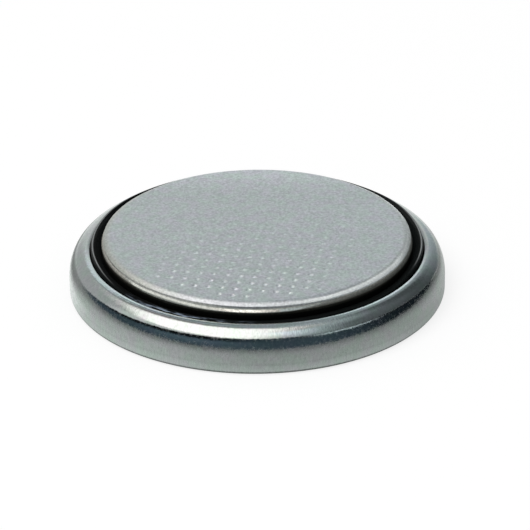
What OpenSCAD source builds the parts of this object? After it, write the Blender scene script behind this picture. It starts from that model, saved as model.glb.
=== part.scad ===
// Lithium coin cell, 20 mm across and 3.2 mm high.
// A crimped steel can (positive) and a stepped steel cap (negative) are kept apart by a plastic gasket.
// Inside, from the floor up: mesh collector, cathode pellet, separator cup, lithium disc.
// The origin is the middle of the can's flat face, on the ground, and the cap faces up.

/* [Cell] */
// Diameter over the can
cell_d = 20; // [18:0.1:24.5]
// Height over both faces
cell_h = 3.2; // [3:0.05:5]

/* [Positive can] */
// Thickness of the can's steel sheet
can_sheet = 0.25; // [0.2:0.01:0.3]
// Outside radius between the can's face and its side
can_corner_r = 0.3; // [0.25:0.01:0.5]
// How far the top of the crimped rim lies below the cap's face
rim_drop = 0.77; // [0.6:0.01:0.9]
// Outside radius of the crimp next to the straight side
crimp_side_r = 1.87; // [1.6:0.01:2.2]
// Angle through which the side radius runs before the tighter top radius takes over
crimp_angle = 30; // [22:1:34]
// Radius on the crimped lip's cut edge
lip_edge_r = 0.07; // [0.04:0.01:0.12]

/* [Sealing gasket] */
// Thickness of the squeezed gasket wall
gasket_wall = 0.28; // [0.22:0.01:0.34]
// Clearance between the gasket and each metal face beside it
seal_gap = 0.02; // [0.01:0.005:0.03]
// Width of the gasket's foot under the cap's skirt
gasket_foot_w = 0.85; // [0.5:0.05:1.1]
// Radius of the bead that stands up inside the lip
bead_r = 0.09; // [0.07:0.01:0.11]
// How far the top of the bead lies below the top of the rim
bead_drop = 0.02; // [0:0.01:0.1]

/* [Negative cap] */
// Thickness of the cap's steel sheet
cap_sheet = 0.25; // [0.2:0.01:0.3]
// Radial distance from the lip's edge to the cap's wall
rim_gap = 0.605; // [0.5:0.005:0.8]
// Outside radius between the cap's face and its wall
cap_edge_r = 0.45; // [0.35:0.01:0.5]
// Outside radius of the step between the cap's wall and its shoulder
cap_step_r = 0.2; // [0.1:0.01:0.25]
// Inside radius of the fold between the cap's shoulder and its skirt
cap_fold_r = 0.13; // [0.08:0.01:0.2]

/* [Electrodes] */
// Thickness of the lithium disc
lithium_t = 0.6; // [0.3:0.05:0.8]
// Radial clearance from the lithium disc to the rounded edge of the cap's inside face
lithium_gap = 0.1; // [0.05:0.01:0.3]
// Thickness of the separator's fleece
separator_t = 0.15; // [0.1:0.01:0.25]
// Radial clearance from the separator to the cap's wall
separator_gap = 0.1; // [0.05:0.01:0.2]
// How far the separator reaches down over the pellet
separator_skirt_h = 1; // [0.5:0.05:1.2]
// Radial clearance from the pellet to the separator around it
pellet_gap = 0.05; // [0.02:0.01:0.1]
// Rounding of the pellet's edges
pellet_edge_r = 0.1; // [0.05:0.01:0.2]

/* [Collector] */
// Thickness of the collector's mesh
mesh_t = 0.1; // [0.05:0.01:0.15]
// How far the collector stays inside the pellet's edge
mesh_margin = 0.4; // [0.2:0.05:1]
// Width of the collector's solid rim
mesh_rim_w = 0.35; // [0.2:0.05:0.8]
// Width of one mesh diamond, from the middle of one strand crossing to the next
diamond_w = 2; // [1.8:0.1:3]
// Height of one mesh diamond, measured the same way
diamond_h = 1.3; // [1.3:0.1:2]
// Width of a mesh strand
strand_w = 0.25; // [0.15:0.01:0.3]

/* [Hidden] */

// Facets of a full turn, and steps of one arc in a section
$fn = 180;
arc_steps = 12;
// Least radius of an inside corner
sharp_r = 0.02;

// Depths below the can's outside at which the gasket and the cap's sheet begin and end
gasket_out = can_sheet + seal_gap;
gasket_in = gasket_out + gasket_wall;
cap_out = gasket_in + seal_gap;
cap_in = cap_out + cap_sheet;

// The crimp: a side arc and a tighter top arc, which share their centres with every layer inside
can_r = cell_d / 2;
rim_z = cell_h - rim_drop;
crimp_top_r = cap_in + cap_fold_r;
crimp_w = crimp_side_r - (crimp_side_r - crimp_top_r) * cos(crimp_angle);
crimp_h = crimp_top_r + (crimp_side_r - crimp_top_r) * sin(crimp_angle);
side_top_z = rim_z - crimp_h;
side_centre = [can_r - crimp_side_r, side_top_z];
top_centre = [can_r - crimp_w, rim_z - crimp_top_r];
lip_r = top_centre.x - lip_edge_r;

// The cap's wall and shoulder
cap_r = lip_r - rim_gap;
cap_bore_r = cap_r - cap_sheet;
shoulder_z = rim_z - cap_out;
step_centre = [cap_r + cap_step_r, shoulder_z + cap_step_r];
edge_centre = [cap_r - cap_edge_r, cell_h - cap_edge_r];
ceiling_z = cell_h - cap_sheet;

// The stack between the can's floor and the cap's ceiling
mesh_z = can_sheet;
pellet_z = mesh_z + mesh_t;
lithium_z = ceiling_z - lithium_t;
separator_z = lithium_z - separator_t;
lithium_r = edge_centre.x - lithium_gap;
separator_r = cap_bore_r - separator_gap;
pellet_r = separator_r - separator_t - pellet_gap;
mesh_r = pellet_r - mesh_margin;

// Points of an arc about c, from angle a to angle b
function arc(c, r, a, b) =
    [for (i = [0:arc_steps]) let (t = a + (b - a) * i / arc_steps) c + r * [cos(t), sin(t)]];

function reversed(points) = [for (i = [len(points) - 1:-1:0]) points[i]];

// The crimp's outline at a depth below the can's outside, upwards and inwards
function crimp(depth) = concat(
    arc(side_centre, crimp_side_r - depth, 0, crimp_angle),
    arc(top_centre, crimp_top_r - depth, crimp_angle, 90));

// The outline from the can's floor, round the corner and up to the lip, at a depth
function cup(depth) =
    let (r = max(can_corner_r - depth, sharp_r))
    concat(arc([can_r - depth - r, depth + r], r, -90, 0), crimp(depth));

// The cap's stepped outline at a depth below its outside, from the face down to the shoulder
function step(depth) = concat(
    arc(edge_centre, cap_edge_r - depth, 90, 0),
    arc(step_centre, cap_step_r + depth, 180, 270));

module turned(section) {
    rotate_extrude() polygon(section);
}

module disc(r, t, z) {
    translate([0, 0, z]) cylinder(r = r, h = t);
}

// Drawn cup with its mouth crimped inwards over the gasket
module positive_can() {
    lip_edge = arc([top_centre.x, rim_z - lip_edge_r], lip_edge_r, 90, 180);
    color("#c3c9cb") turned(concat(
        [[0, 0]],
        cup(0),
        lip_edge,
        [[lip_r, rim_z - can_sheet]],
        reversed(cup(can_sheet)),
        [[0, can_sheet]]));
}

// Ring that lines the can, passes under the skirt and over the shoulder, and ends in a bead inside the lip
module sealing_gasket() {
    foot_r = can_r - gasket_in - gasket_foot_w;
    bead_out_r = lip_r - seal_gap;
    bead_z = rim_z - bead_drop - bead_r;
    color("#16191b") turned(concat(
        [[foot_r, gasket_out]],
        cup(gasket_out),
        [[bead_out_r, rim_z - gasket_out]],
        arc([bead_out_r - bead_r, bead_z], bead_r, 0, 180),
        arc(step_centre, cap_step_r - seal_gap, 180, 270),
        reversed(crimp(gasket_in)),
        [[can_r - gasket_in, gasket_in], [foot_r, gasket_in]]));
}

// Pressed cap: flat face, wall, shoulder and a skirt that stands in the gasket
module negative_cap() {
    color("#b4b9b9") turned(concat(
        [[0, cell_h]],
        step(0),
        reversed(crimp(cap_out)),
        [[can_r - cap_out, cap_out], [can_r - cap_in, cap_out]],
        crimp(cap_in),
        reversed(step(cap_sheet)),
        [[0, ceiling_z]]));
}

// Flat mesh disc of diamond gaps inside a solid rim
module current_collector() {
    gap_w = diamond_w - strand_w * sqrt(1 + pow(diamond_w / diamond_h, 2));
    gap_h = gap_w * diamond_h / diamond_w;
    clear_r = mesh_r - mesh_rim_w;
    columns = floor(clear_r / diamond_w * 2);
    rows = floor(clear_r / diamond_h * 2);
    color("#8f9496") translate([0, 0, mesh_z]) linear_extrude(mesh_t) difference() {
        circle(r = mesh_r);
        for (i = [-columns:columns], j = [-rows:rows]) {
            x = i * diamond_w / 2;
            y = j * diamond_h / 2;
            reach = max(norm([abs(x) + gap_w / 2, y]), norm([x, abs(y) + gap_h / 2]));
            if ((i + j) % 2 == 0 && reach < clear_r)
                translate([x, y])
                    polygon([[gap_w / 2, 0], [0, gap_h / 2], [-gap_w / 2, 0], [0, -gap_h / 2]]);
        }
    }
}

// Pressed manganese dioxide, with rounded edges
module cathode_pellet() {
    edge_r = pellet_r - pellet_edge_r;
    color("#26262a") turned(concat(
        [[0, pellet_z]],
        arc([edge_r, pellet_z + pellet_edge_r], pellet_edge_r, -90, 0),
        arc([edge_r, separator_z - pellet_edge_r], pellet_edge_r, 0, 90),
        [[0, separator_z]]));
}

// Fleece cup upside down over the pellet, with its skirt outside the pellet's edge
module separator() {
    color("#eef0ea") difference() {
        disc(separator_r, separator_t + separator_skirt_h, separator_z - separator_skirt_h);
        disc(separator_r - separator_t, separator_skirt_h, separator_z - separator_skirt_h);
    }
}

// Lithium disc against the cap's ceiling
module lithium_anode() {
    color("#d6d8dc") disc(lithium_r, lithium_t, lithium_z);
}

positive_can();
sealing_gasket();
negative_cap();
current_collector();
cathode_pellet();
separator();
lithium_anode();
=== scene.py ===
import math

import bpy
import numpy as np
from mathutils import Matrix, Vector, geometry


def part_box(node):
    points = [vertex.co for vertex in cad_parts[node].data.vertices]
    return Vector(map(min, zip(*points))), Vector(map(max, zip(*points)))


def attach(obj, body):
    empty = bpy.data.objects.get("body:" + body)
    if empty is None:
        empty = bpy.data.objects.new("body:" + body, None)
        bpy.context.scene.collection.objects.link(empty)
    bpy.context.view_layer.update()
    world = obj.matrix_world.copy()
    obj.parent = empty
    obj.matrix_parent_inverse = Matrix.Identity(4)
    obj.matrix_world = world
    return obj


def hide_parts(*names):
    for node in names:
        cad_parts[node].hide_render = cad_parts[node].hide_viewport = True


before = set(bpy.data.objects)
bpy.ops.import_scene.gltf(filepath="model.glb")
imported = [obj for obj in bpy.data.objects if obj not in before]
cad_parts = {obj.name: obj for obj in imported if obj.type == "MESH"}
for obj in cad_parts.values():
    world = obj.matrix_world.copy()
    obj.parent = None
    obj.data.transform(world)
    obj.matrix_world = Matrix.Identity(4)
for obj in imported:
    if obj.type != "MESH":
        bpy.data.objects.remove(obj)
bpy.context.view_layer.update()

# Looks of the lithium coin cell: finely turned can, gasket and dimpled cap that stand for the plain CAD
# solids, finishes for the pieces sealed inside, and a small photo studio round the cell.
# Sections are in millimetres, as (radius, height) with the origin in the middle of the positive face.
# Azimuths are in degrees round the axis: 0 towards the viewer's side, growing to the viewer's right.

MM = 0.001

# ---------------------------------------------------------------- sizes, as in the CAD source
CELL_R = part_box("positive_can")[1].x / MM
CELL_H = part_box("negative_cap")[1].z / MM
CAN_SHEET = 0.25
CAN_CORNER_R = 0.3
RIM_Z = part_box("positive_can")[1].z / MM
CRIMP_SIDE_R = 1.87
CRIMP_ANGLE = 30
LIP_EDGE_R = 0.07
GASKET_WALL = 0.28
SEAL_GAP = 0.02
GASKET_FOOT_W = 0.85
CAP_SHEET = 0.25
RIM_GAP = 0.605
CAP_EDGE_R = 0.45
CAP_STEP_R = 0.2
CAP_FOLD_R = 0.13
SHARP_R = 0.02
FIRST_EDGE = 0.02

GASKET_OUT = CAN_SHEET + SEAL_GAP
GASKET_IN = GASKET_OUT + GASKET_WALL
CAP_OUT = GASKET_IN + SEAL_GAP
CAP_IN = CAP_OUT + CAP_SHEET
CRIMP_TOP_R = CAP_IN + CAP_FOLD_R
CRIMP_COS = math.cos(math.radians(CRIMP_ANGLE))
CRIMP_SIN = math.sin(math.radians(CRIMP_ANGLE))
CRIMP_W = CRIMP_SIDE_R - (CRIMP_SIDE_R - CRIMP_TOP_R) * CRIMP_COS
CRIMP_H = CRIMP_TOP_R + (CRIMP_SIDE_R - CRIMP_TOP_R) * CRIMP_SIN
SIDE_CENTRE = (CELL_R - CRIMP_SIDE_R, RIM_Z - CRIMP_H)
TOP_CENTRE = (CELL_R - CRIMP_W, RIM_Z - CRIMP_TOP_R)
LIP_R = TOP_CENTRE[0] - LIP_EDGE_R
CAP_R = LIP_R - RIM_GAP
SHOULDER_Z = RIM_Z - CAP_OUT
STEP_CENTRE = (CAP_R + CAP_STEP_R, SHOULDER_Z + CAP_STEP_R)
EDGE_CENTRE = (CAP_R - CAP_EDGE_R, CELL_H - CAP_EDGE_R)

# ---------------------------------------------------------------- fine form of the cap's rolled edge
# From the top: a satin roll, a steep drop, a sharp hollow and a sloping ledge, which is lifted on the left.
# Slopes and spans are in degrees.
ROLL_R = 0.5
ROLL_SPAN = 48
ROLL_INSET = 0.466
ROLL_CENTRE = (CAP_R - ROLL_INSET, CELL_H - ROLL_R)
DROP_TOP_R = 0.03
DROP_SLOPE = 88
DROP_Z = 2.865
HOLLOW_R = 0.02
LEDGE_SLOPE = 57
LEDGE_END_Z = 2.745
LEDGE_DEPTH = 0.1
LEDGE_LIFT = 0.07
LEDGE_LIFT_SECTOR = (12, 38, 100, 140)

# ---------------------------------------------------------------- fine form of the gasket's ridge
# Its height above its foot is a share: RIDGE_LOW in front, 1 at the sides and up to RIDGE_BACK more behind.
# The pairs are degrees away from the front, on both sides, between which each change takes place.
RIDGE_Z = 2.71
RIDGE_R = 0.1
RIDGE_FOOT_Z = 2.3
RIDGE_SPAN = 150
RIDGE_LOW = 0.3
RIDGE_SIDES = (45, 80)
RIDGE_BACK = 0.17
RIDGE_BACK_RISE = (90, 120)
RIDGE_BACK_DROP = 0.55
RIDGE_BACK_FALL = (122, 142)

# ---------------------------------------------------------------- dimples of the cap's face
# A turned lattice. Its left and right limits lean, and the dimples fade out across them and to the back.
DIMPLE_PITCH = (0.712, 0.742)
DIMPLE_TURN = -10.7
DIMPLE_START = (0.137, -3.643)
DIMPLE_FACE_R = 7.35
DIMPLE_R = 0.19
DIMPLE_DEPTH = 0.05
DIMPLE_BACK_Y = 2.8
DIMPLE_FRONT_Y = -6.5
DIMPLE_LEFT_X = -5.75
DIMPLE_LEFT_Y = -4.5
DIMPLE_LEFT_LEAN = 0.35
DIMPLE_LEFT_FADE = 1.3
DIMPLE_RIGHT_X = 5.3
DIMPLE_RIGHT_Y = -1.5
DIMPLE_RIGHT_LEAN = 0.45
DIMPLE_RIGHT_FADE = 1.0
DIMPLE_FAINTEST = 0.05
DIMPLE_RINGS = (0.22, 0.4, 0.56, 0.7, 0.84, 1.0)
DIMPLE_SIDES = 20

# ---------------------------------------------------------------- meshing
# Faces round the axis, the widest angle of one edge of an arc, and how near two points count as one.
TURNS = 440
ARC_STEP = 4.0
SAME = 1e-6


def ease(x, a, b):
    """0 below a, 1 above b, and smooth between them."""
    t = min(1.0, max(0.0, (x - a) / (b - a)))
    return t * t * (3 - 2 * t)


def band(x, a, b, c, d):
    """0 below a, 1 from b to c, and 0 again above d."""
    return ease(x, a, b) * (1 - ease(x, c, d))


# ================================================================ sections
# A section is a list of edges, which turning about the axis makes into a closed skin.
# Each edge is (point, point, normal at the first, normal at the second).

def arc_edges(c, r, a, b, inside=False):
    """Edges of an arc about c from angle a to b; its normals point away from c, or towards it."""
    n = max(2, math.ceil(abs(b - a) / ARC_STEP))
    sign = -1.0 if inside else 1.0
    angles = [math.radians(a + (b - a) * i / n) for i in range(n + 1)]
    at = [(c[0] + r * math.cos(t), c[1] + r * math.sin(t)) for t in angles]
    out = [(sign * math.cos(t), sign * math.sin(t)) for t in angles]
    return [(at[i], at[i + 1], out[i], out[i + 1]) for i in range(n)]


def line_edge(p, q):
    """One straight edge, with its normal on the right of the way from p to q."""
    dx, dy = q[0] - p[0], q[1] - p[1]
    length = math.hypot(dx, dy)
    n = (dy / length, -dx / length)
    return [(p, q, n, n)]


def joined(*parts):
    """One list of edges; a straight edge bridges each gap between one part and the next."""
    edges = []
    for part in parts:
        if edges:
            end, start = edges[-1][1], part[0][0]
            if math.hypot(start[0] - end[0], start[1] - end[1]) > SAME:
                edges += line_edge(end, start)
        edges += part
    return edges


def crimp(depth):
    """The rim of two radii, as far below the can's outside as depth says."""
    return joined(
        arc_edges(SIDE_CENTRE, CRIMP_SIDE_R - depth, 0, CRIMP_ANGLE),
        arc_edges(TOP_CENTRE, CRIMP_TOP_R - depth, CRIMP_ANGLE, 90))


def cup(depth):
    """Lower corner, wall and rim, as far below the can's outside as depth says."""
    r = max(CAN_CORNER_R - depth, SHARP_R)
    return joined(arc_edges((CELL_R - depth - r, depth + r), r, -90, 0), crimp(depth))


def step(depth):
    """The cap's step, wall and plain edge, as far below its outside as depth says."""
    return joined(
        arc_edges(STEP_CENTRE, CAP_STEP_R + depth, 270, 180, inside=True),
        arc_edges(EDGE_CENTRE, CAP_EDGE_R - depth, 0, 90))


def rolled_edge():
    """The cap's outside from the wall up to the face: wall, polished ledge, short drop and satin roll."""
    roll = arc_edges(ROLL_CENTRE, ROLL_R, 90 - ROLL_SPAN, 90)
    drop_top = chain_down(roll[0][0], DROP_TOP_R, 90 - ROLL_SPAN, 90 - DROP_SLOPE)
    drop = line_down(drop_top[-1][1], 90 - DROP_SLOPE, DROP_Z)
    hollow = chain_down(drop[-1][1], HOLLOW_R, 90 - DROP_SLOPE, 90 - LEDGE_SLOPE)
    ledge = line_down(hollow[-1][1], 90 - LEDGE_SLOPE, LEDGE_END_Z)
    to_wall = CAP_R - ledge[-1][1][0]
    corner_r = to_wall / (1 - math.sin(math.radians(LEDGE_SLOPE)))
    corner = chain_down(ledge[-1][1], corner_r, 90 - LEDGE_SLOPE, 0)
    return turned_round(drop_top + drop + hollow + ledge + corner) + roll


def chain_down(start, r, a, b):
    """Like an arc of a falling outline: from normal angle a to b above the horizontal, convex where b < a."""
    n = max(2, math.ceil(abs(b - a) / ARC_STEP))
    sign = 1.0 if b < a else -1.0
    angles = [math.radians(a + (b - a) * i / n) for i in range(n + 1)]
    centre = (start[0] - sign * r * math.cos(angles[0]), start[1] - sign * r * math.sin(angles[0]))
    at = [(centre[0] + sign * r * math.cos(t), centre[1] + sign * r * math.sin(t)) for t in angles]
    at[0] = start
    out = [(math.cos(t), math.sin(t)) for t in angles]
    return [(at[i], at[i + 1], out[i], out[i + 1]) for i in range(n)]


def line_down(start, angle, z):
    """A straight, falling piece of outline whose normal stands at an angle above the horizontal."""
    t = math.radians(angle)
    end = (start[0] + (start[1] - z) * math.tan(t), z)
    n = (math.cos(t), math.sin(t))
    return [(start, end, n, n)]


def turned_round(edges):
    """The same edges and normals, walked the other way."""
    return [(q, p, nq, np_) for p, q, np_, nq in reversed(edges)]


def backwards(edges):
    """The same edges walked the other way, seen from the sheet's other side."""
    return [(q, p, (-nq[0], -nq[1]), (-np_[0], -np_[1])) for p, q, np_, nq in reversed(edges)]


# ================================================================ turned meshes

class Mesh:
    """Corners, faces and the exact normal at each corner of each face."""

    def __init__(self):
        self.points, self.faces, self.normals = [], [], []
        self.count = 0

    def add_points(self, points):
        """Adds a block of points and returns the number of its first one."""
        first = self.count
        self.points.append(np.asarray(points, float))
        self.count += len(points)
        return first

    def add_faces(self, faces, normals):
        self.faces.extend(faces)
        self.normals.extend(normals)

    def build(self, name, material):
        """Makes the Blender object, with its points in metres."""
        points = np.concatenate(self.points) * MM
        mesh = bpy.data.meshes.new(name)
        mesh.from_pydata(points.tolist(), [], self.faces)
        mesh.polygons.foreach_set("use_smooth", [True] * len(self.faces))
        mesh.normals_split_custom_set([n for face in self.normals for n in face])
        mesh.materials.append(material)
        piece = bpy.data.objects.new(name, mesh)
        bpy.context.scene.collection.objects.link(piece)
        return piece


def turn(mesh, edges, rings=()):
    """Turns a chain of edges about the axis, with its normals on the right of the way along it.
    Points on the axis become one shared corner; rings gives the first corner of rings made before."""
    turns = np.linspace(0, 2 * math.pi, TURNS, endpoint=False)
    cos, sin = np.cos(turns), np.sin(turns)

    def ring(p):
        if p[0] < SAME:
            return mesh.add_points([(0, 0, p[1])]), True
        return mesh.add_points(np.stack([p[0] * cos, p[0] * sin, np.full(TURNS, p[1])], 1)), False

    made = {point: (first, False) for point, first in dict(rings).items()}
    for p, q, np_, nq in edges:
        for point in (p, q):
            if point not in made:
                made[point] = ring(point)
        (a, a_axis), (b, b_axis) = made[p], made[q]
        na = np.stack([np_[0] * cos, np_[0] * sin, np.full(TURNS, np_[1])], 1).tolist()
        nb = np.stack([nq[0] * cos, nq[0] * sin, np.full(TURNS, nq[1])], 1).tolist()
        faces, normals = [], []
        for i in range(TURNS):
            j = (i + 1) % TURNS
            if a_axis:
                faces.append((a, b + j, b + i))
                normals.append((na[i], nb[j], nb[i]))
            elif b_axis:
                faces.append((a + i, a + j, b))
                normals.append((na[i], na[j], nb[i]))
            else:
                faces.append((a + i, a + j, b + j, b + i))
                normals.append((na[i], na[j], nb[j], nb[i]))
        mesh.add_faces(faces, normals)


# ================================================================ pieces

def make_can(material):
    """The can, with the round inner edge of its lip."""
    lip = arc_edges((TOP_CENTRE[0], RIM_Z - LIP_EDGE_R), LIP_EDGE_R, 90, 180)
    outside = joined([((0.0, 0.0), (FIRST_EDGE, 0.0), (0, -1), (0, -1))], cup(0), lip)
    inside = backwards(cup(CAN_SHEET))
    edges = joined(outside, line_edge((LIP_R, RIM_Z - LIP_EDGE_R), (LIP_R, RIM_Z - CAN_SHEET)),
                   inside, line_edge((CELL_R - CAN_CORNER_R, CAN_SHEET), (0.0, CAN_SHEET)))
    mesh = Mesh()
    turn(mesh, edges)
    return mesh.build("can_shell", material)


def make_gasket(material):
    """The gasket, with the ridge that stands up between the can's lip and the cap."""
    foot_r = CELL_R - GASKET_IN - GASKET_FOOT_W
    ridge_out_r = LIP_R - SEAL_GAP
    ridge_centre = (ridge_out_r - RIDGE_R, RIDGE_Z - RIDGE_R)
    ridge = arc_edges(ridge_centre, RIDGE_R, 0, RIDGE_SPAN)
    edges = joined(
        line_edge((foot_r, GASKET_OUT), (foot_r + FIRST_EDGE, GASKET_OUT)),
        cup(GASKET_OUT),
        line_edge((TOP_CENTRE[0], RIM_Z - GASKET_OUT), (ridge_out_r, RIM_Z - GASKET_OUT)),
        ridge,
        line_edge(ridge[-1][1], (CAP_R + SEAL_GAP, RIDGE_FOOT_Z)),
        arc_edges(STEP_CENTRE, CAP_STEP_R - SEAL_GAP, 180, 270),
        backwards(crimp(GASKET_IN)),
        line_edge((CELL_R - GASKET_IN, GASKET_IN), (foot_r, GASKET_IN)),
        line_edge((foot_r, GASKET_IN), (foot_r, GASKET_OUT)))
    mesh = Mesh()
    turn(mesh, edges)
    for points in mesh.points:
        sink_ridge(points)
    return mesh.build("seal_ring", material)


def sink_ridge(points):
    """The ridge stands low in front and highest beside the back: heights above its foot are scaled."""
    for point in points:
        if point[2] > RIDGE_FOOT_Z:
            side = abs(math.degrees(math.atan2(point[0], -point[1])))
            share = RIDGE_LOW + (1 - RIDGE_LOW) * ease(side, *RIDGE_SIDES)
            back = ease(side, *RIDGE_BACK_RISE) * (1 - RIDGE_BACK_DROP * ease(side, *RIDGE_BACK_FALL))
            share += RIDGE_BACK * back
            point[2] = RIDGE_FOOT_Z + (point[2] - RIDGE_FOOT_Z) * share


def dimple_centres():
    """Points of the lattice that lie on the face and within the stamp's reach."""
    turned = math.radians(DIMPLE_TURN)
    c, d = math.cos(turned), math.sin(turned)
    reach = int(2 * DIMPLE_FACE_R / min(DIMPLE_PITCH)) + 2
    centres = []
    for i in range(-reach, reach + 1):
        for j in range(-reach, reach + 1):
            u, v = i * DIMPLE_PITCH[0], j * DIMPLE_PITCH[1]
            x = DIMPLE_START[0] + u * c - v * d
            y = DIMPLE_START[1] + u * d + v * c
            if math.hypot(x, y) < DIMPLE_FACE_R and dimple_depth(x, y) > DIMPLE_FAINTEST * DIMPLE_DEPTH:
                centres.append((x, y))
    return centres


def dimple_depth(x, y):
    """The stamp pressed less and less deeply towards the back, and fades out on both sides."""
    back = min(1.0, max(0.0, (DIMPLE_BACK_Y - y) / (DIMPLE_BACK_Y - DIMPLE_FRONT_Y)))
    left = DIMPLE_LEFT_X + DIMPLE_LEFT_LEAN * (y - DIMPLE_LEFT_Y)
    right = DIMPLE_RIGHT_X + DIMPLE_RIGHT_LEAN * min(0.0, y - DIMPLE_RIGHT_Y)
    from_left = ease(x - left, -DIMPLE_LEFT_FADE, DIMPLE_LEFT_FADE)
    to_right = 1 - ease(x - right, -DIMPLE_RIGHT_FADE, DIMPLE_RIGHT_FADE)
    return DIMPLE_DEPTH * back * from_left * to_right


def dimple_form(rho, deep):
    """Depth and slope of a dimple at a share rho of its radius."""
    if rho >= 1:
        return 0.0, 0.0
    rest = 1 - rho * rho
    return deep * rest * rest, deep / DIMPLE_R * 4 * rho * rest


def face_points(edge_r):
    """Plan points of the cap's face with their heights and normals: the rim first, then every dimple."""
    plan, height, normal = [], [], []
    for k in range(TURNS):
        t = 2 * math.pi * k / TURNS
        plan.append(Vector((edge_r * math.cos(t), edge_r * math.sin(t))))
        height.append(CELL_H)
        normal.append((0.0, 0.0, 1.0))
    for x, y in dimple_centres():
        deep = dimple_depth(x, y)
        plan.append(Vector((x, y)))
        height.append(CELL_H - deep)
        normal.append((0.0, 0.0, 1.0))
        for ring, rho in enumerate(DIMPLE_RINGS):
            depth, slope = dimple_form(rho, deep)
            up = 1 / math.hypot(slope, 1)
            for s in range(DIMPLE_SIDES):
                t = 2 * math.pi * (s + 0.5 * (ring % 2)) / DIMPLE_SIDES
                c, d = math.cos(t), math.sin(t)
                plan.append(Vector((x + rho * DIMPLE_R * c, y + rho * DIMPLE_R * d)))
                height.append(CELL_H - depth)
                normal.append((-slope * up * c, -slope * up * d, up))
    return plan, height, normal


def make_cap(material):
    """The cap: a triangulated face with its dimples, and the turned rest, which starts on the face's rim."""
    mesh = Mesh()
    plan, height, normal = face_points(ROLL_CENTRE[0])
    rim = [(k, (k + 1) % TURNS) for k in range(TURNS)]
    points, _, faces, origin, _, _ = geometry.delaunay_2d_cdt(plan, rim, [], 1, SAME)
    source = [o[0] for o in origin]
    first = mesh.add_points([(p.x, p.y, height[s]) for p, s in zip(points, source)])
    place_of = {s: i for i, s in enumerate(source)}
    faces = [tuple(f) if is_upward(points, f) else tuple(reversed(f)) for f in faces]
    mesh.add_faces([tuple(first + i for i in f) for f in faces],
                   [tuple(normal[source[i]] for i in f) for f in faces])
    if [place_of[k] for k in range(TURNS)] != list(range(TURNS)):
        raise RuntimeError("the face's rim points have changed order")
    edges = joined(
        line_edge((0.0, CELL_H - CAP_SHEET), (EDGE_CENTRE[0], CELL_H - CAP_SHEET)),
        backwards(step(CAP_SHEET)),
        backwards(crimp(CAP_IN)),
        line_edge((CELL_R - CAP_IN, CAP_OUT), (CELL_R - CAP_OUT, CAP_OUT)),
        crimp(CAP_OUT),
        arc_edges(STEP_CENTRE, CAP_STEP_R, 270, 180, inside=True),
        rolled_edge())
    turn(mesh, edges, rings={edges[-1][1]: first})
    for points in mesh.points:
        lift_ledge(points)
    return mesh.build("cap_shell", material)


def lift_ledge(points):
    """The polished ledge runs a little higher round the left side, where the edge was rolled less."""
    for point in points:
        outside = math.hypot(point[0], point[1]) > CAP_R - LEDGE_DEPTH
        if outside and LEDGE_END_Z - HOLLOW_R < point[2] < DROP_Z + 0.5 * HOLLOW_R:
            left = math.degrees(math.atan2(-point[0], -point[1]))
            point[2] += LEDGE_LIFT * band(left, *LEDGE_LIFT_SECTOR)


def is_upward(points, face):
    """Whether a flat face's corners run anticlockwise seen from above."""
    a, b, c = (points[i] for i in face[:3])
    return (b.x - a.x) * (c.y - a.y) - (b.y - a.y) * (c.x - a.x) > 0


# ================================================================ materials

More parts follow.
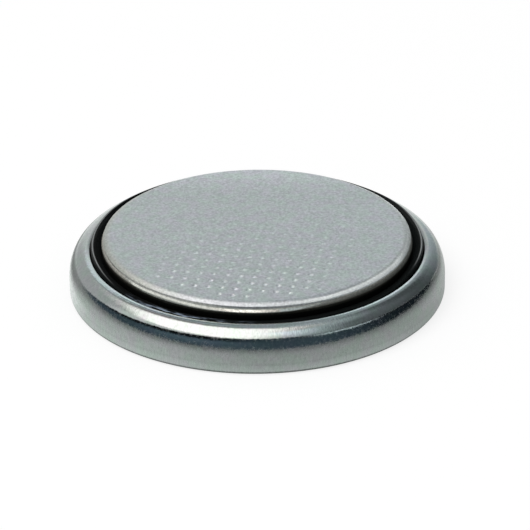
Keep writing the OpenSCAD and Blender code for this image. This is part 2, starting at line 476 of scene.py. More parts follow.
class Nodes:
    """Small helper that adds nodes to one material and links them."""

    def __init__(self, name):
        self.material = bpy.data.materials.new(name)
        self.material.use_nodes = True
        self.tree = self.material.node_tree
        self.shader = self.tree.nodes["Principled BSDF"]

    def add(self, kind, inputs=(), **settings):
        """Adds a node; an input is given as another node's socket or as a plain value."""
        node = self.tree.nodes.new(kind)
        for key, value in settings.items():
            setattr(node, key, value)
        for key, value in dict(inputs).items():
            if isinstance(value, bpy.types.NodeSocket):
                self.tree.links.new(value, node.inputs[key])
            else:
                node.inputs[key].default_value = value
        return node

    def link(self, out, socket):
        self.tree.links.new(out, self.shader.inputs[socket])

    def math(self, operation, a, b=None, c=None, clamp=False):
        inputs = {i: v for i, v in enumerate((a, b, c)) if v is not None}
        return self.add("ShaderNodeMath", inputs, operation=operation, use_clamp=clamp).outputs[0]

    def times(self, first, *others):
        """All the values multiplied together."""
        for other in others:
            first = self.math("MULTIPLY", first, other)
        return first

    def scaled(self, colour, factor):
        """The colour, lighter or darker by a factor."""
        inputs = {0: colour, 1: factor}
        return self.add("ShaderNodeVectorMath", inputs, operation="MULTIPLY").outputs[0]

    def remap(self, value, low, high, to_low, to_high):
        """Goes evenly from to_low, where value is low or less, to to_high, where it is high or more."""
        node = self.add("ShaderNodeMapRange", {0: value, 1: low, 2: high, 3: to_low, 4: to_high})
        return node.outputs[0]

    def rise(self, value, low, high):
        return self.remap(value, low, high, 0.0, 1.0)

    def fall(self, value, low, high):
        return self.remap(value, low, high, 1.0, 0.0)

    def off(self, value, middle):
        """How far the value is from the middle."""
        return self.math("ABSOLUTE", self.math("SUBTRACT", value, middle))

    def noise(self, vector, scale, detail=2.0, roughness=0.5):
        node = self.add("ShaderNodeTexNoise",
                        {"Vector": vector, "Scale": scale, "Detail": detail, "Roughness": roughness})
        return node.outputs[0]

    def position(self):
        return self.add("ShaderNodeTexCoord").outputs["Object"]

    def meridian(self, stretch):
        """Coordinates on a cylinder of one metre round the axis, with heights divided by stretch:
        a noise of them draws streaks that run up the wall and over the rim."""
        x, y, z = self.split(self.position())
        rho = self.math("SQRT", self.math("ADD", self.math("MULTIPLY", x, x), self.math("MULTIPLY", y, y)))
        rho = self.math("MAXIMUM", rho, 1e-6)
        combine = self.add("ShaderNodeCombineXYZ", {
            0: self.math("DIVIDE", x, rho), 1: self.math("DIVIDE", y, rho),
            2: self.math("MULTIPLY", self.math("SUBTRACT", z, rho), 1 / stretch)})
        return combine.outputs[0]

    def split(self, vector):
        return self.add("ShaderNodeSeparateXYZ", {0: vector}).outputs[:3]

    def millimetres(self):
        """The point's three coordinates, in millimetres."""
        return [self.times(c, 1000.0) for c in self.split(self.position())]

    def azimuth(self):
        """Degrees round the axis: 0 towards the viewer's side, growing to the viewer's right."""
        x, y, _ = self.split(self.position())
        return self.math("DEGREES", self.math("ARCTAN2", x, self.math("MULTIPLY", y, -1.0)))

    def sector(self, a, b, c, d):
        """0 up to azimuth a, 1 from b to c, and 0 again from d."""
        angle = self.azimuth()
        return self.times(self.rise(angle, a, b), self.fall(angle, c, d))

    def both(self, sectors):
        """Two sectors that don't overlap."""
        return self.math("ADD", self.sector(*sectors[0]), self.sector(*sectors[1]))

    def radius(self):
        """Distance from the cell's axis, in millimetres."""
        x, y, _ = self.split(self.position())
        square = self.math("ADD", self.math("MULTIPLY", x, x), self.math("MULTIPLY", y, y))
        return self.math("MULTIPLY", self.math("SQRT", square), 1000.0)

    def tint(self, value, stops):
        """The colour that the stops, (place, colour), give for the value."""
        ramp = self.add("ShaderNodeValToRGB", {0: value})
        while len(ramp.color_ramp.elements) < len(stops):
            ramp.color_ramp.elements.new(0.5)
        for element, (place, colour) in zip(ramp.color_ramp.elements, stops):
            element.position = place
            element.color = (*colour, 1.0)
        return ramp.outputs[0]

    def blend(self, share, a, b):
        """Colour a where share is 0 and b where it is 1."""
        return self.add("ShaderNodeMix", {0: share, 6: a, 7: b}, data_type="RGBA").outputs[2]

    def bump(self, height, distance, below=None):
        """A normal; distance is how far a height of 1 stands out, in metres, on top of the bump below."""
        inputs = {"Height": height, "Distance": distance, "Strength": 1.0}
        if below is not None:
            inputs["Normal"] = below
        return self.add("ShaderNodeBump", inputs).outputs[0]

    def set(self, **values):
        """Sets the shader's own sockets; _ stands for a space in their names."""
        for key, value in values.items():
            self.shader.inputs[key.replace("_", " ")].default_value = value


# Heights and radii are in millimetres. A sector is four azimuths, in degrees: where it begins, where it is
# full, where it begins to fade and where it has ended.
CLOUD_PLACES = (0.35, 0.65)
GRAIN_BUMP = 1.6e-6
STREAK_BUMP = 7.0e-6
WAVE_BUMP = 5.0e-6

# ---------------------------------------------------------------- can
STEEL_GREEN = (0.388, 0.445, 0.413)
STEEL_LILAC = (0.415, 0.427, 0.435)
WALL_UNEVEN = 0.5
RIM_UNEVEN = 0.35
WALL_LINE_Z = 0.62
WALL_LINE_LEVEL = 0.93
# Painted reflection: rings of lighter and darker base colour on the rim's front left.
PAINTED_RING_PITCH = 0.19
PAINTED_RING_STRENGTH = 0.3
PAINTED_RING_SECTOR = (-62.0, -50.0, -12.0, 0.0)
# Painted shade at the lip's inner edge beside the gasket, on both sides:
LIP_SHADE = 0.62
LIP_SECTORS = ((-130.0, -110.0, -92.0, -80.0), (70.0, 90.0, 110.0, 130.0))
WALL_ROUGHNESS = 0.32
RIM_ROUGHNESS = 0.1
RIGHT_ROUGHNESS = 0.05
LEAST_ROUGHNESS = 0.06


def clouds(n, scale, first, second):
    """Soft clouds of two colours."""
    cloud = n.noise(n.position(), scale, 2.0)
    return n.tint(cloud, [(CLOUD_PLACES[0], first), (CLOUD_PLACES[1], second)])


def can_steel():
    """Drawn steel: upright drawing lines, a fine grain and soft clouds of two hues.
    The crimping die has burnished the rim, with painted reflection rings of lighter and darker colour on its
    front left; the wall is duller, and painted shade darkens the lip's inner edge on both sides."""
    n = Nodes("can_steel")
    n.set(Metallic=1.0)
    x, _, height = n.millimetres()
    radius = n.radius()
    streaks = n.noise(n.meridian(0.05), 150.0, 3.0, 0.6)
    grain = n.noise(n.position(), 7000.0, 2.0, 0.6)
    uneven = n.math("SUBTRACT", n.math("ADD", streaks, grain), 1.0)
    mottle = n.math("MULTIPLY_ADD", uneven, n.remap(height, 1.5, 1.9, WALL_UNEVEN, RIM_UNEVEN), 1.0)
    # Painted reflection streaks: the base colour swings lighter and darker in rings on the rim's front left.
    wave = n.math("SINE", n.times(radius, 2 * math.pi / PAINTED_RING_PITCH))
    rings = n.times(wave, PAINTED_RING_STRENGTH, n.fall(radius, 9.15, 9.22), n.sector(*PAINTED_RING_SECTOR))
    wall_line = n.remap(n.off(height, WALL_LINE_Z), 0.03, 0.1, WALL_LINE_LEVEL, 1.0)
    # Painted shade: the base colour darkens at the lip's inner edge on both sides, next to the gasket.
    lip = n.times(n.both(LIP_SECTORS), n.remap(radius, 8.95, 9.1, LIP_SHADE, 0.0))
    mottle = n.times(mottle, n.math("ADD", rings, 1.0), wall_line, n.math("SUBTRACT", 1.0, lip))
    n.link(n.scaled(clouds(n, 1300.0, STEEL_GREEN, STEEL_LILAC), mottle), "Base Color")
    dull = n.remap(height, 0.95, 1.85, WALL_ROUGHNESS, RIM_ROUGHNESS)
    soft = n.times(n.remap(x, 4.5, 8.5, 0.0, RIGHT_ROUGHNESS), n.fall(height, 1.9, 2.2))
    speckle = n.times(n.math("SUBTRACT", grain, 0.5), n.remap(height, 1.9, 2.1, 0.6, 0.1))
    rough = n.math("ADD", speckle, n.math("ADD", dull, soft))
    n.link(n.math("MAXIMUM", rough, LEAST_ROUGHNESS), "Roughness")
    waves = n.bump(n.noise(n.position(), 1500.0, 2.0), WAVE_BUMP)
    n.link(n.bump(grain, GRAIN_BUMP, n.bump(streaks, STREAK_BUMP, waves)), "Normal")
    return n.material


# ---------------------------------------------------------------- cap
FACE_LILAC = (0.472, 0.474, 0.5)
FACE_GREEN = (0.445, 0.5, 0.472)
STEEL_EDGE = (0.4, 0.425, 0.445)
STEEL_BEIGE = (0.44, 0.46, 0.42)
STEEL_LEDGE = (0.62, 0.63, 0.58)
# Painted highlight: the colour of the near-white line on the right of the roll.
HIGHLIGHT_LINE_COLOUR = (0.86, 0.89, 0.88)
# Painted highlight: the colour of the pale band on the left of the roll.
HIGHLIGHT_BAND_COLOUR = (0.8, 0.8, 0.76)
LINE_TOP_Z = 3.16
LINE_RISE = 0.035
EDGE_SHARPNESS = 25.0
SATIN_ROUGHNESS = 0.45
LEDGE_ROUGHNESS = 0.06
LINE_ROUGHNESS = 0.3
FACE_GRAIN = (0.79, 1.21)
FACE_BACK_LIGHT_LEVEL = 1.2
# Painted highlight in the dimples, and painted light towards the back of the face:
DIMPLE_HIGHLIGHT_LEVEL = 1.7
LINE_LEVEL = 1.08
LINE_SMOOTHNESS = 0.6

# Painted shade on the cap's wall beside the gasket: its colours from bottom to top, and how high it reaches.
WALL_SHADE_STOPS = (
    (0.0, (0.012, 0.013, 0.011)), (0.35, (0.08, 0.077, 0.064)),
    (0.62, (0.28, 0.28, 0.25)), (1.0, (0.82, 0.8, 0.74)))
WALL_SHADE_LOW_Z = 2.55
WALL_SHADE_SIDE_Z = 2.98
WALL_SHADE_FRONT_Z = 2.735
WALL_SHADE_FRONT = (-60.0, -46.0, 12.0, 34.0)
WALL_SHADE_BACK_RISE = 0.11
WALL_SHADE_FORWARD = (-112.0, -97.0, 97.0, 112.0)
WALL_SHADE_ROUGHNESS = 0.55


def below(n, top, height):
    """1 below the top and 0 above it, with a narrow change."""
    return n.math("MULTIPLY", n.math("SUBTRACT", top, height), EDGE_SHARPNESS, clamp=True)


def painted_wall_shade(n, height):
    """Where painted shade darkens the cap's wall beside the gasket: low in front, and highest at the back."""
    top = n.remap(n.sector(*WALL_SHADE_FRONT), 0.0, 1.0, WALL_SHADE_SIDE_Z, WALL_SHADE_FRONT_Z)
    top = n.math("ADD", top, n.remap(n.sector(*WALL_SHADE_FORWARD), 0.0, 1.0, WALL_SHADE_BACK_RISE, 0.0))
    return below(n, top, height)


def painted_highlight_line(n, x, height):
    """A painted highlight: a near-white line on the right half of the roll, which climbs and fades to the
    right.
    """
    top = n.remap(x, 3.5, 6.2, LINE_TOP_Z, LINE_TOP_Z + LINE_RISE)
    across = n.times(n.rise(height, 2.93, 2.98), below(n, top, height))
    return n.times(across, n.rise(x, 0.0, 3.5), n.remap(x, 7.4, 8.1, 1.0, 0.45))


def cap_grain_and_painted_light(n, y, height, grain, line):
    """How light the satin steel is: grained, with painted highlights in its dimples and painted light towards
    the back, and smooth on the painted highlight line.
    """
    # Painted highlight: the dimples' base colour is lighter, most where they are deepest.
    pressed = n.remap(height, CELL_H - DIMPLE_DEPTH, CELL_H - 0.04 * DIMPLE_DEPTH, DIMPLE_HIGHLIGHT_LEVEL, 1.0)
    on_face = n.fall(n.radius(), DIMPLE_FACE_R + 0.2, DIMPLE_FACE_R + 0.3)
    pressed = n.math("MULTIPLY_ADD", n.math("SUBTRACT", pressed, 1.0), on_face, 1.0)
    level = n.times(n.remap(grain, 0.3, 0.7, *FACE_GRAIN), pressed)
    to_smooth = n.math("SUBTRACT", LINE_LEVEL, level)
    level = n.math("MULTIPLY_ADD", n.times(line, LINE_SMOOTHNESS), to_smooth, level)
    # Painted light: the face's base colour grows lighter towards the back.
    return n.times(level, n.remap(y, 5.0, 7.8, 1.0, FACE_BACK_LIGHT_LEVEL))


def cap_steel():
    """Satin face and roll with a fine grain, a painted highlight line on the right and a painted highlight
    band on the left.
    The ledge below is bright, and painted shade darkens the wall beside the gasket."""
    n = Nodes("cap_steel")
    n.set(Metallic=1.0)
    x, y, height = n.millimetres()
    grain = n.noise(n.position(), 8000.0, 2.0, 0.6)
    satin = n.rise(height, DROP_Z + 0.02, DROP_Z + 0.08)
    wall_shade = painted_wall_shade(n, height)
    # Painted highlight: the line on the right of the roll, in near-white base colour.
    line = painted_highlight_line(n, x, height)
    # Painted highlight: a pale band of lighter base colour on the left of the roll.
    pale = n.times(n.rise(height, 2.85, 2.9), n.fall(height, 2.99, 3.05), n.fall(x, -3.0, -1.2))
    # Painted sheen: the edge's colour turns lighter and warmer towards both sides, as seen from the front.
    side = n.rise(n.math("ABSOLUTE", x), 3.5, 6.5)
    edge = n.blend(side, (*STEEL_EDGE, 1.0), (*STEEL_BEIGE, 1.0))
    outwards = n.rise(n.radius(), ROLL_CENTRE[0] - 0.1, ROLL_CENTRE[0] + 0.4)
    base = n.blend(outwards, clouds(n, 1500.0, FACE_LILAC, FACE_GREEN), edge)
    base = n.blend(pale, base, (*HIGHLIGHT_BAND_COLOUR, 1.0))
    base = n.blend(line, base, (*HIGHLIGHT_LINE_COLOUR, 1.0))
    base = n.blend(satin, (*STEEL_LEDGE, 1.0), base)
    # Painted shade: the wall's colour darkens to near black towards the gasket.
    base = n.blend(wall_shade, base, n.tint(n.rise(height, WALL_SHADE_LOW_Z, WALL_SHADE_SIDE_Z), WALL_SHADE_STOPS))
    n.link(n.scaled(base, cap_grain_and_painted_light(n, y, height, grain, line)), "Base Color")
    rough = n.remap(satin, 0.0, 1.0, LEDGE_ROUGHNESS, SATIN_ROUGHNESS)
    rough = n.math("MULTIPLY_ADD", line, LINE_ROUGHNESS, rough)
    n.link(n.math("MAXIMUM", rough, n.times(wall_shade, WALL_SHADE_ROUGHNESS)), "Roughness")
    n.link(n.bump(grain, GRAIN_BUMP), "Normal")
    return n.material


# ---------------------------------------------------------------- gasket
GASKET_BLACKS = ((0.3, (0.0004, 0.0012, 0.0012)), (0.7, (0.0014, 0.0028, 0.0028)))
# Painted reflection: colour and sector of light streaks on the gasket's front left.
PAINTED_STREAK_COLOUR = (0.26, 0.32, 0.4)
PAINTED_STREAK_SECTOR = (-52.0, -36.0, -14.0, 0.0)
# Painted highlight: colour and sectors of a thin light line along the ridge's crest.
PAINTED_CREST_COLOUR = (0.17, 0.18, 0.18)
PAINTED_CREST_SECTORS = ((-130.0, -105.0, -75.0, -58.0), (70.0, 82.0, 102.0, 120.0))
MATT_ROUGHNESS = 0.85
CREST_ROUGHNESS = 0.25


def gasket_plastic():
    """Black moulded polypropylene, matt but for the ridge's glossy crest, which has a painted highlight at
    both sides.
    Light blue-grey streaks on the front left are a painted reflection."""
    n = Nodes("gasket_plastic")
    n.set(Specular_IOR_Level=0.1)
    _, _, height = n.millimetres()
    radius = n.radius()
    waves = n.noise(n.position(), 2600.0, 3.0)
    # Painted reflection: broken light streaks of base colour on the ridge's front left.
    ripple = n.rise(n.noise(n.meridian(0.0016), 9.0, 3.0), 0.48, 0.6)
    painted_streaks = n.times(n.sector(*PAINTED_STREAK_SECTOR), n.rise(radius, 8.4, 8.5), ripple)
    base = n.blend(painted_streaks, n.tint(waves, GASKET_BLACKS), (*PAINTED_STREAK_COLOUR, 1.0))
    # Painted highlight: a thin lighter line of base colour along the crest, on both sides.
    off_crest = n.off(radius, LIP_R - SEAL_GAP - RIDGE_R)
    painted_crest = n.times(n.both(PAINTED_CREST_SECTORS), n.fall(off_crest, 0.015, 0.045))
    n.link(n.blend(painted_crest, base, (*PAINTED_CREST_COLOUR, 1.0)), "Base Color")
    crest = n.rise(height, RIDGE_Z - 1.2 * RIDGE_R, RIDGE_Z - 0.3 * RIDGE_R)
    n.link(n.remap(crest, 0.0, 1.0, MATT_ROUGHNESS, CREST_ROUGHNESS), "Roughness")
    n.link(n.bump(waves, 4.0e-6), "Normal")
    return n.material


# ---------------------------------------------------------------- pieces inside
MESH_STEEL = (0.45, 0.46, 0.46)
LITHIUM = (0.66, 0.67, 0.69)
POWDER_STOPS = ((0.3, (0.012, 0.012, 0.013)), (0.72, (0.045, 0.044, 0.046)))
FLEECE_STOPS = ((0.2, (0.66, 0.67, 0.64)), (0.7, (0.84, 0.85, 0.82)))


def shade(colour, factor):
    return tuple(c * factor for c in colour)


def plain_metal(name, colour, roughness, scale, height):
    """One metal whose colour and roughness vary a little with its grain."""
    n = Nodes(name)
    n.set(Metallic=1.0)
    grain = n.noise(n.position(), scale, 3.0, 0.6)
    n.link(n.tint(grain, [(0.3, shade(colour, 0.85)), (0.7, shade(colour, 1.15))]), "Base Color")
    n.link(n.remap(grain, 0.3, 0.7, roughness - 0.06, roughness + 0.06), "Roughness")
    n.link(n.bump(grain, height), "Normal")
    return n.material


def cathode_powder():
    """Pressed black powder: matt, with fine grains and a few lighter specks."""
    n = Nodes("cathode_powder")
    n.set(Roughness=0.9)
    grain = n.noise(n.position(), 14000.0, 4.0, 0.7)
    n.link(n.tint(grain, POWDER_STOPS), "Base Color")
    n.link(n.bump(grain, 8.0e-6), "Normal")
    return n.material


def separator_fleece():
    """White non-woven fleece: tangled fine fibres."""
    n = Nodes("separator_fleece")
    n.set(Roughness=0.95)
    lumps = n.noise(n.position(), 2500.0, 4.0, 0.65)
    waves = n.add("ShaderNodeTexWave", {
        "Vector": n.position(), "Scale": 3500.0, "Distortion": 14.0, "Detail": 3.0, "Detail Scale": 1.5})
    fibres = n.math("MULTIPLY_ADD", waves.outputs["Fac"], 0.5, n.math("MULTIPLY", lumps, 0.5))
    n.link(n.tint(fibres, FLEECE_STOPS), "Base Color")
    n.link(n.bump(fibres, 1.5e-5), "Normal")
    return n.material


# ================================================================ camera

CAMERA_DOWN = 26.71
CAMERA_ROLL = 0.44
CAMERA_AT = Vector((0.000418, -0.191974, 0.097917))
CAMERA_LENS = 274.1
CAMERA_SENSOR = 36.0
CAMERA_CLIP = (0.01, 20.0)


def make_camera():
    """The camera that was fitted to the photo: it looks down on the cell, with a slight roll."""
    down, roll = math.radians(CAMERA_DOWN), math.radians(CAMERA_ROLL)
    side = Vector((1, 0, 0))
    up = Vector((0, math.sin(down), math.cos(down)))
    look = Vector((0, math.cos(down), -math.sin(down)))
    x = side * math.cos(roll) - up * math.sin(roll)
    y = side * math.sin(roll) + up * math.cos(roll)
    data = bpy.data.cameras.new("camera")
    data.lens = CAMERA_LENS
    data.sensor_width = CAMERA_SENSOR
    data.clip_start, data.clip_end = CAMERA_CLIP
    camera = bpy.data.objects.new("camera", data)
    bpy.context.scene.collection.objects.link(camera)
    turned = Matrix((x, y, -look)).transposed().to_4x4()
    camera.matrix_world = Matrix.Translation(CAMERA_AT) @ turned
    bpy.context.scene.camera = camera


# ================================================================ studio
# Its measures are in metres. Cards are what polished metal mirrors, and only reflections show them.

STUDIO_CENTRE = Vector((0.0, 0.0, 0.002))
FLOOR_SIZE = 4.0
FLOOR_LIFT = 0.8
FLOOR_COLOUR = 0.95
AMBIENT = 0.645
LAMP_POWER = 2.0
LAMP_SIZE = 0.4
LAMP_AWAY = 0.6
LAMP_DIRECTION = (-50, 60)
CARD_STEPS = 96
CARD_ROWS = 32


def direction(azimuth, elevation):
    """The unit vector that points there."""
    a, e = math.radians(azimuth), math.radians(elevation)
    return Vector((math.cos(e) * math.sin(a), -math.cos(e) * math.cos(a), math.sin(e)))


def card(name, azimuths, low, high, distance, glow):
    """A curved card round the cell, from elevation low(a) to high(a), with glow(a, e) as its colour."""
    points, colours, faces = [], [], []
    for i in range(CARD_STEPS + 1):
        a = azimuths[0] + (azimuths[1] - azimuths[0]) * i / CARD_STEPS
        for j in range(CARD_ROWS + 1):
            e = low(a) + (high(a) - low(a)) * j / CARD_ROWS
            points.append(tuple(STUDIO_CENTRE + direction(a, e) * distance))
            colours.append((*glow(a, e), 1.0))
    for i in range(CARD_STEPS):
        for j in range(CARD_ROWS):
            k = i * (CARD_ROWS + 1) + j
            faces.append((k, k + 1, k + CARD_ROWS + 2, k + CARD_ROWS + 1))
    glowing_mesh(name, points, colours, faces)


def glowing_mesh(name, points, colours, faces):
    """A stage mesh that shines in its points' colours, seen by reflections alone."""
    mesh = bpy.data.meshes.new(name)
    mesh.from_pydata(points, [], faces)
    glow = mesh.attributes.new("glow", "FLOAT_COLOR", "POINT")
    glow.data.foreach_set("color", [v for c in colours for v in c])
    mesh.materials.append(glow_material(name))
    made = bpy.data.objects.new(name, mesh)
    bpy.context.scene.collection.objects.link(made)
    made.visible_camera = False
    made.visible_shadow = False
    made.visible_diffuse = False
    made.visible_transmission = False


def glow_material(name):
    material = bpy.data.materials.new(name)
    material.use_nodes = True
    tree = material.node_tree
    tree.nodes.clear()
    glow = tree.nodes.new("ShaderNodeAttribute")
    glow.attribute_name = "glow"
    emit = tree.nodes.new("ShaderNodeEmission")
    out = tree.nodes.new("ShaderNodeOutputMaterial")
    tree.links.new(glow.outputs["Color"], emit.inputs["Color"])
    tree.links.new(emit.outputs[0], out.inputs[0])
    return material


def grey(level, tint):
    return tuple(level * t for t in tint)


TABLE = (0.975, 1.0, 0.985)
COOL = (0.9, 1.0, 1.06)
PALE = (0.98, 1.0, 1.0)
BLUE = (0.68, 1.0, 1.27)
WARM = (1.055, 1.0, 0.98)
SOFTBOX_LEVEL = 2.4
OVERHEAD_LEVEL = 0.65
FLAG_LEVEL = 0.098
LEFT_LEVEL = 0.66
RIGHT_LEVEL = 0.12
STRIP_LEVEL = 1.1
BACK_LEVEL = 0.52
WINDOW_LEVEL = 0.45
TABLE_LEVEL = 0.58
TABLE_FAR_LEVEL = 0.36

# The functions below give a card's edge or colour at azimuth a and elevation e, in degrees. Each pair of bare
# numbers in ease() is where one change begins and ends, and the number before it is how large the change is.


def flag_top(a):
    """The dark flag's upper edge: high in front, and down to the floor behind."""
    return 35.0 * (1 - min(1.0, (abs(a - 7) / 132) ** 2.4))


def softbox_low(a):
    """The softbox's lower edge, which rises at the back on the left."""
    return 35.0 + 9 * ease(-a, 85, 130)


def softbox_glow(a, e):
    """Bright on the cell's left: softer along its lower edge, weaker low at the back and on the right."""
    low = softbox_low(a)
    lower = 1 - ease(e, 62, 82)
    width = 3 + 12.4 * ease(-a, 75, 105) - 3.4 * ease(-a, 105, 120)
    fade = ease(e, low, low + width) * (1 - ease(-a, 128, 156) * lower)
    dim = 1 - 0.45 * ease(-a, 135, 152) * lower
    right = 1 - (0.15 + 0.45 * (1 - ease(e, 38, 62))) * ease(a, -12, 17)
    return grey(SOFTBOX_LEVEL * (0.23 + 0.77 * fade) * dim * right, WARM)


def overhead_glow(a, e):
    """Bright on the left of the cell and above it, falling off to the right and at the back."""
    aside = direction(a, e).x
    lit = max(ease(e, 72, 84), 1 - ease(a, 60, 120))
    return grey(OVERHEAD_LEVEL + 1.5 * lit * (1 - ease(aside, 0.08, 0.24)), WARM)


def flag_glow(a, e):
    """Nearly black on the right; on the front left a lighter patch, with a black band above it."""
    share = max(0.0, e / max(flag_top(a), 1.0))
    level = (FLAG_LEVEL - 0.078 * ease(a, 30, 95)) * (1 - 0.35 * ease(share, 0.5, 0.95))
    patch = 0.09 * band(-a, -10, 35, 50, 85) * (1 - abs(share - 0.5) * 2)
    black = 0.93 * ease(share, 0.6, 0.72) * band(-a, 0, 25, 85, 110)
    return grey((level + patch) * (1 - black), BLUE)


def left_glow(a, e):
    """Plain, but lighter at the back, near the floor and again higher up."""
    low_back = 0.5 * ease(-a, 155, 163) * (1 - ease(e, 14, 26))
    high_back = 0.3 * ease(-a, 153, 160) * ease(e, 30, 36)
    return grey(LEFT_LEVEL * (1 + low_back + high_back), PALE)


def right_glow(a, e):
    """Dim on the cell's right, brighter towards the front, high up and at the back."""
    raised = ease(e, 22, 36)
    near = 1.25 * (1 - ease(a, 10, 75)) * ease(e, 18, 62)
    high = 0.08 * ease(e, 20, 45) + 0.55 * ease(e, 48, 74)
    back = 0.38 * ease(a, 125 + 24 * raised, 162 + 3 * raised) - 0.07 * raised * ease(a, 115, 135)
    low_back = 0.15 * ease(a, 152, 162) * (1 - 0.6 * raised)
    return grey(RIGHT_LEVEL + near + high + back + low_back, COOL)


def strip_glow(a, e):
    """A narrow light before the right card, fading to both ends."""
    return grey(STRIP_LEVEL * band(a, 28, 45, 62, 84), COOL)


def back_glow(a, e):
    return grey(BACK_LEVEL, COOL)


def window_glow(a, e):
    """Light from behind: bright beyond 184 degrees, and in a spot just right of the middle."""
    spot = ease(180 - a, 1, 5) * (1 - ease(180 - a, 11, 17)) * ease(e, 27, 31)
    return grey(WINDOW_LEVEL + 0.95 * (ease(a, 184, 189) + 1.4 * spot), COOL)


def floor_glow(a, r):
    """Grey table round the cell, r millimetres from its axis: lighter to the sides, darker further off, and
    darkest in a painted shadow where the cell stands on it."""
    near = TABLE_LEVEL + 0.21 * ease(-a, -10, 45) + 0.12 * ease(a, 50, 95)
    near += 0.35 * ease(-a, 66, 86) * (1 - ease(r, 10.9, 11.6))
    near += 0.22 * (1 - ease(a, 40, 75)) * (1 - ease(r, 10.6, 11.3))
    near -= 0.5 * ease(-a, 85, 110) * ease(r, 11.5, 13)
    far = TABLE_FAR_LEVEL + 0.06 * ease(abs(a), 20, 80)
    far += ease(abs(a), 120, 160) - 0.15 * ease(a, 90, 135)
    level = near + (far - near) * ease(r, 12.0, 20.0)
    # Painted shadow: the table's glow darkens where the cell stands on it.
    foot_shadow = 0.3 + 0.7 * ease(r, 10.0, 10.12)
    return grey(level * foot_shadow * (1 - 0.45 * ease(r, 25, 80)), TABLE)


FLOOR_CARD_ROWS = 60
FLOOR_CARD_IN_R = 9.75
FLOOR_CARD_W = 140
FLOOR_CARD_Z = 0.00003


def make_cards():
    """Each card: its azimuths, its lower and upper edge, its distance and its colour."""
    card("softbox", (-162, 17), softbox_low, lambda a: 90, 0.16, softbox_glow)
    card("overhead_card", (17, 198), lambda a: 72, lambda a: 90, 0.165, overhead_glow)
    card("right_card", (17, 165), lambda a: flag_top(a) - ease(a, 125, 131), lambda a: 74, 0.2, right_glow)
    card("front_flag", (-124, 131), lambda a: -1, flag_top, 0.25, flag_glow)
    card("strip_card", (28, 84), lambda a: flag_top(a) - 8.0, lambda a: flag_top(a) - 3.5, 0.19, strip_glow)
    card("back_card", (150, 210), lambda a: 35, lambda a: 72, 0.25, back_glow)
    card("window_card", (160, 205), lambda a: 28, lambda a: 39, 0.12, window_glow)
    card("left_card", (-165, -100), lambda a: -1, lambda a: 40, 0.3, left_glow)
    floor_card()


def floor_card():
    """A grey ring on the floor round the cell that only reflections show."""
    column = FLOOR_CARD_ROWS + 1
    points, colours, faces = [], [], []
    for i in range(CARD_STEPS):
        a = -180 + 360 * i / CARD_STEPS
        for j in range(column):
            r = FLOOR_CARD_IN_R + FLOOR_CARD_W * (j / FLOOR_CARD_ROWS) ** 5
            flat = direction(a, 0) * r * MM
            points.append((flat.x, flat.y, FLOOR_CARD_Z))
            colours.append((*floor_glow(a, r), 1.0))
    for i in range(CARD_STEPS):
        for j in range(FLOOR_CARD_ROWS):
            k = i * column + j
            m = (i + 1) % CARD_STEPS * column + j
            faces.append((k, k + 1, m + 1, m))
    glowing_mesh("floor_card", points, colours, faces)


def make_lamp():
    """A soft lamp high on the left, which no reflection shows."""
    data = bpy.data.lights.new("soft_lamp", "AREA")
    data.shape = "SQUARE"
    data.size = LAMP_SIZE
    data.energy = LAMP_POWER
    lamp = bpy.data.objects.new("soft_lamp", data)
    way = direction(*LAMP_DIRECTION)
    lamp.location = STUDIO_CENTRE + way * LAMP_AWAY
    lamp.rotation_euler = way.to_track_quat("Z", "Y").to_euler()
    lamp.visible_camera = False
    lamp.visible_glossy = False
    bpy.context.scene.collection.objects.link(lamp)


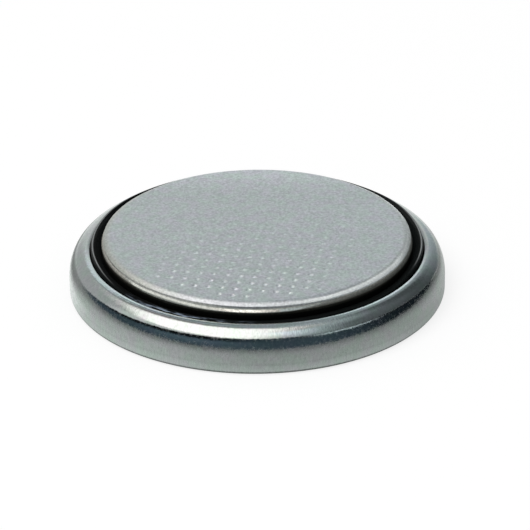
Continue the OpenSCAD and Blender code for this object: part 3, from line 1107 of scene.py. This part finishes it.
def make_floor():
    """A pale floor that takes the cell's shadow, and is lifted towards white where the background shows."""
    material = bpy.data.materials.new("floor")
    material.use_nodes = True
    tree = material.node_tree
    tree.nodes.clear()
    diffuse = tree.nodes.new("ShaderNodeBsdfDiffuse")
    diffuse.inputs["Color"].default_value = (FLOOR_COLOUR, FLOOR_COLOUR, FLOOR_COLOUR, 1)
    white = tree.nodes.new("ShaderNodeEmission")
    mix = tree.nodes.new("ShaderNodeMixShader")
    out = tree.nodes.new("ShaderNodeOutputMaterial")
    seen = background_rays(tree)
    share = tree.nodes.new("ShaderNodeMath")
    share.operation = "MULTIPLY"
    share.inputs[1].default_value = FLOOR_LIFT
    tree.links.new(seen, share.inputs[0])
    tree.links.new(share.outputs[0], mix.inputs[0])
    tree.links.new(diffuse.outputs[0], mix.inputs[1])
    tree.links.new(white.outputs[0], mix.inputs[2])
    tree.links.new(mix.outputs[0], out.inputs[0])
    half = FLOOR_SIZE / 2
    mesh = bpy.data.meshes.new("floor")
    corners = [(-half, -half, 0), (half, -half, 0), (half, half, 0), (-half, half, 0)]
    mesh.from_pydata(corners, [], [(0, 1, 2, 3)])
    mesh.materials.append(material)
    floor = bpy.data.objects.new("floor", mesh)
    bpy.context.scene.collection.objects.link(floor)


def background_rays(tree):
    """1 for rays that show the white background: from the camera, off metal and through glass."""
    path = tree.nodes.new("ShaderNodeLightPath")
    total = path.outputs["Is Camera Ray"]
    for name in ("Is Glossy Ray", "Is Transmission Ray"):
        add = tree.nodes.new("ShaderNodeMath")
        add.operation = "ADD"
        add.use_clamp = True
        tree.links.new(total, add.inputs[0])
        tree.links.new(path.outputs[name], add.inputs[1])
        total = add.outputs[0]
    return total


def make_world():
    """White where the background shows, and a plain level of light on everything else."""
    world = bpy.data.worlds.new("studio")
    bpy.context.scene.world = world
    world.use_nodes = True
    tree = world.node_tree
    background = tree.nodes["Background"]
    strength = tree.nodes.new("ShaderNodeMapRange")
    tree.links.new(background_rays(tree), strength.inputs[0])
    strength.inputs[3].default_value = AMBIENT
    strength.inputs[4].default_value = 1.0
    background.inputs["Color"].default_value = (1, 1, 1, 1)
    tree.links.new(strength.outputs[0], background.inputs["Strength"])


# ================================================================ scene

def give(node, material):
    """Puts a procedural finish on a CAD node that stays as it is."""
    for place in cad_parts[node].material_slots:
        place.material = material


def place(piece, node, slot):
    """Lets a piece stand for its CAD node."""
    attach(piece, "root")
    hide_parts(node)


def main():
    make_camera()
    bpy.context.scene.view_settings.view_transform = "Standard"
    place(make_can(can_steel()), "positive_can", "can_steel")
    place(make_gasket(gasket_plastic()), "sealing_gasket", "gasket_plastic")
    place(make_cap(cap_steel()), "negative_cap", "cap_steel")
    give("current_collector", plain_metal("mesh_steel", MESH_STEEL, 0.35, 6000.0, 2e-6))
    give("cathode_pellet", cathode_powder())
    give("separator", separator_fleece())
    give("lithium_anode", plain_metal("lithium_metal", LITHIUM, 0.5, 2500.0, 5e-6))
    make_cards()
    make_lamp()
    make_floor()
    make_world()


main()
